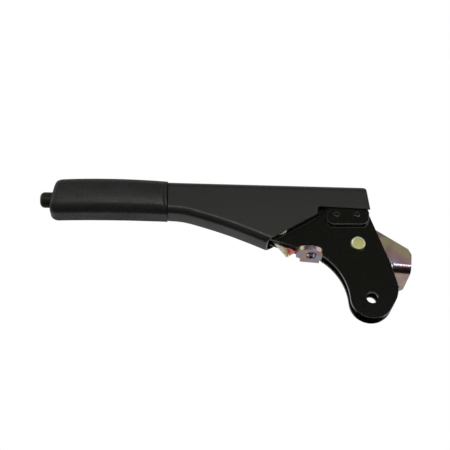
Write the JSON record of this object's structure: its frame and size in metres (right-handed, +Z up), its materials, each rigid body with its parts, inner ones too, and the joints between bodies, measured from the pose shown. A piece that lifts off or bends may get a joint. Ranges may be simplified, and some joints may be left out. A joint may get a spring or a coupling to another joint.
{
  "type": "parking brake lever",
  "caption": "Pull-up parking brake lever: pressed channel handle with push-button grip, side plates with cable-pin lobes, and a toothed, bent mounting bracket.",
  "frame": {"origin": "on the plane of the feet's undersides, straight below the lever's pivot, in the lever's mid-plane", "axes": "+X to the rear (away from the grip), +Y across the lever and along its pivot, towards the longer foot, +Z up"},
  "size_m": [0.3209, 0.077, 0.1179],
  "materials": {
    "yellow_zinc": "yellow passivated zinc plate with a faint rainbow",
    "bronze": "sintered bearing bronze",
    "gloss_black": "gloss black dipped paint",
    "satin_black": "satin black paint on pressed sheet",
    "steel": "bright drawn steel",
    "grained_grip": "soft vinyl moulded with a leather-like grain",
    "moulding": "natural nylon moulding",
    "button_plastic": "satin black moulding"
  },
  "bodies": {
    "bracket": {"mounting_bracket": "yellow_zinc", "pivot_bush": "bronze"},
    "lever": {"near_side_plate": "gloss_black", "far_side_plate": "gloss_black", "near_thrust_washer": "steel", "far_thrust_washer": "steel", "pivot_rivet": "yellow_zinc", "rivet_washer": "steel", "pawl_pin": "yellow_zinc", "near_pawl_spacer": "steel", "far_pawl_spacer": "steel", "handle_channel": "satin_black", "hand_grip": "grained_grip", "button_guide": "moulding", "spring_seat": "steel", "rod_guide": "moulding"},
    "button": {"release_button": "button_plastic", "button_spring": "steel", "rod_clip": "steel", "release_rod": "steel", "rod_yoke": "steel", "link_pin": "steel"},
    "pawl": {"pawl": "yellow_zinc"}
  },
  "joints": [
    {"name": "lever_pivot", "type": "hinge", "parent": "bracket", "child": "lever", "pos_m": [0, 0, 0.0191], "axis": [0, 1, 0], "range_deg": [0, 30]},
    {"name": "button_slide", "type": "slide", "parent": "lever", "child": "button", "axis": [0.9968, 0, 0.0802], "range_m": [0, 0.006], "stiffness_N_per_m": 800, "springref_m": -0.004, "deforming": ["button_spring"]},
    {"name": "pawl_pivot", "type": "hinge", "parent": "lever", "child": "pawl", "pos_m": [-0.0673, 0, 0.0275], "axis": [0, 1, 0], "range_deg": [0, 13.5]}
  ],
  "couplings": [
    {"joint": "pawl_pivot", "follows": "button_slide", "rad_per_m": 37.41}
  ]
}
